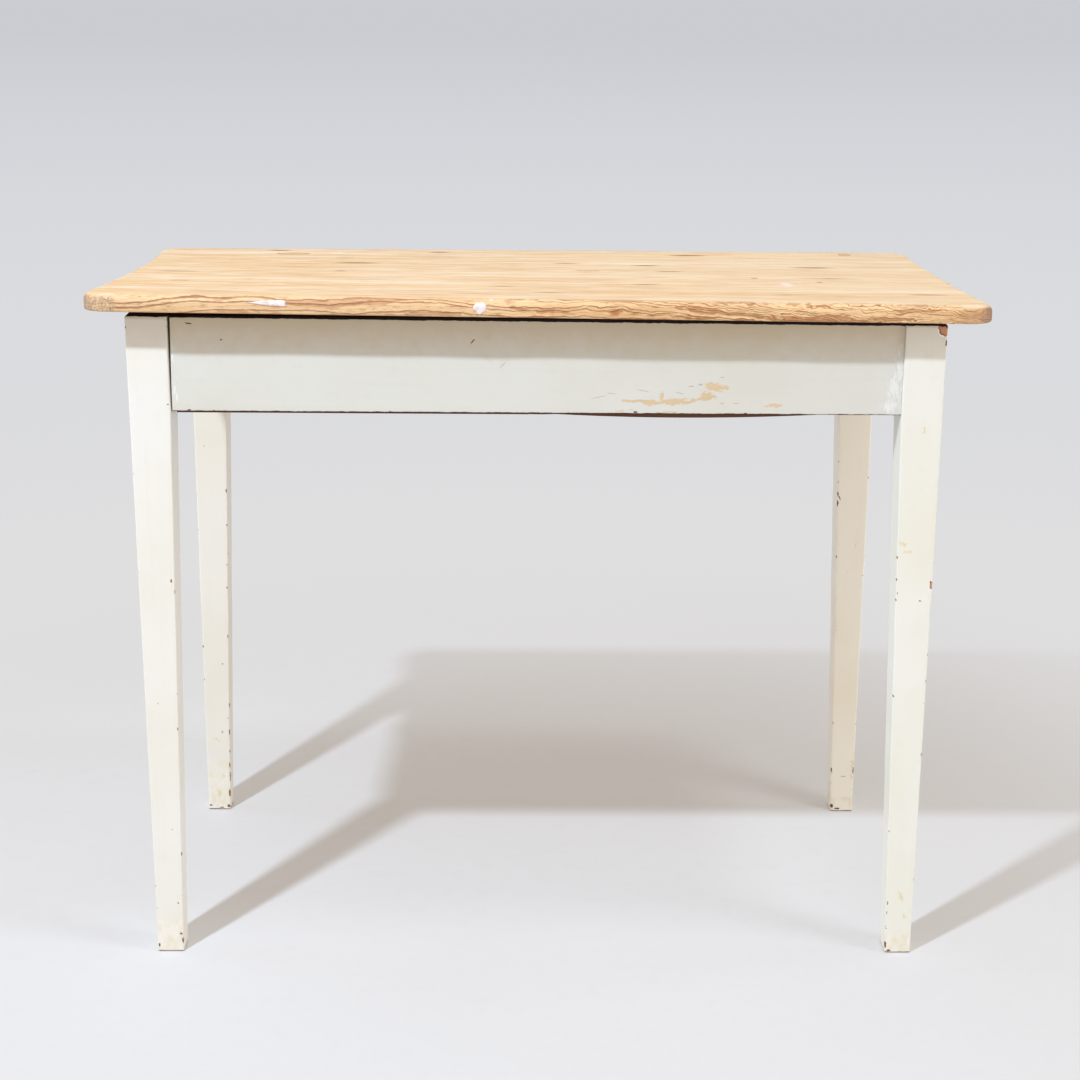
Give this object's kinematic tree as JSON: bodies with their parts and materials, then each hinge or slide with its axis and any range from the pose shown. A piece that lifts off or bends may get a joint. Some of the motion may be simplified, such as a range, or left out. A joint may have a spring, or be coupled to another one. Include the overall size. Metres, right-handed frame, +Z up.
{
  "type": "kitchen table with drawers",
  "caption": "Small rectangular kitchen table with an overhanging pine top, painted aprons and tapered legs, and a shallow drawer that slides out of each end.",
  "frame": {"origin": "on the floor, under the middle of the top", "axes": "+X along the table towards its right end, +Y from front to back, +Z up"},
  "size_m": [0.955, 0.51, 0.75],
  "materials": {
    "top_pine": "worn honey pine, satin",
    "painted_wood": "old cream paint, satin, chipped",
    "bare_pine": "bare aged pine",
    "drawer_pine": "bare pine, dry",
    "steel": "dull"
  },
  "bodies": {
    "frame": {"back_apron": "painted_wood", "centre_bearer": "bare_pine", "centre_stop_rail": "bare_pine", "front_apron": "painted_wood", "guide_back_left": "bare_pine", "guide_back_right": "bare_pine", "guide_front_left": "bare_pine", "guide_front_right": "bare_pine", "guide_nails": "steel", "kicker_back": "bare_pine", "kicker_front": "bare_pine", "kicker_screws": "steel", "left_lower_rail": "painted_wood", "left_upper_rail": "painted_wood", "leg_back_left": "painted_wood", "leg_back_right": "painted_wood", "leg_front_left": "painted_wood", "leg_front_right": "painted_wood", "right_lower_rail": "painted_wood", "right_upper_rail": "painted_wood", "runner_back_left": "bare_pine", "runner_back_right": "bare_pine", "runner_front_left": "bare_pine", "runner_front_right": "bare_pine", "runner_screws": "steel", "top_board_1": "top_pine", "top_board_2": "top_pine", "top_board_3": "top_pine", "top_board_4": "top_pine", "top_board_5": "top_pine", "top_screws": "steel"},
    "left_drawer": {"left_drawer_back": "drawer_pine", "left_drawer_bottom": "drawer_pine", "left_drawer_front": "painted_wood", "left_drawer_knob": "painted_wood", "left_drawer_knob_screw": "steel", "left_drawer_nails": "steel", "left_drawer_side_left": "drawer_pine", "left_drawer_side_right": "drawer_pine"},
    "right_drawer": {"right_drawer_back": "drawer_pine", "right_drawer_bottom": "drawer_pine", "right_drawer_front": "painted_wood", "right_drawer_knob": "painted_wood", "right_drawer_knob_screw": "steel", "right_drawer_nails": "steel", "right_drawer_side_left": "drawer_pine", "right_drawer_side_right": "drawer_pine"}
  },
  "joints": [
    {"name": "left_drawer_slide", "type": "slide", "parent": "frame", "child": "left_drawer", "axis": [-1, 0, 0], "range_m": [0, 0.32]},
    {"name": "right_drawer_slide", "type": "slide", "parent": "frame", "child": "right_drawer", "axis": [1, 0, 0], "range_m": [0, 0.32]}
  ]
}
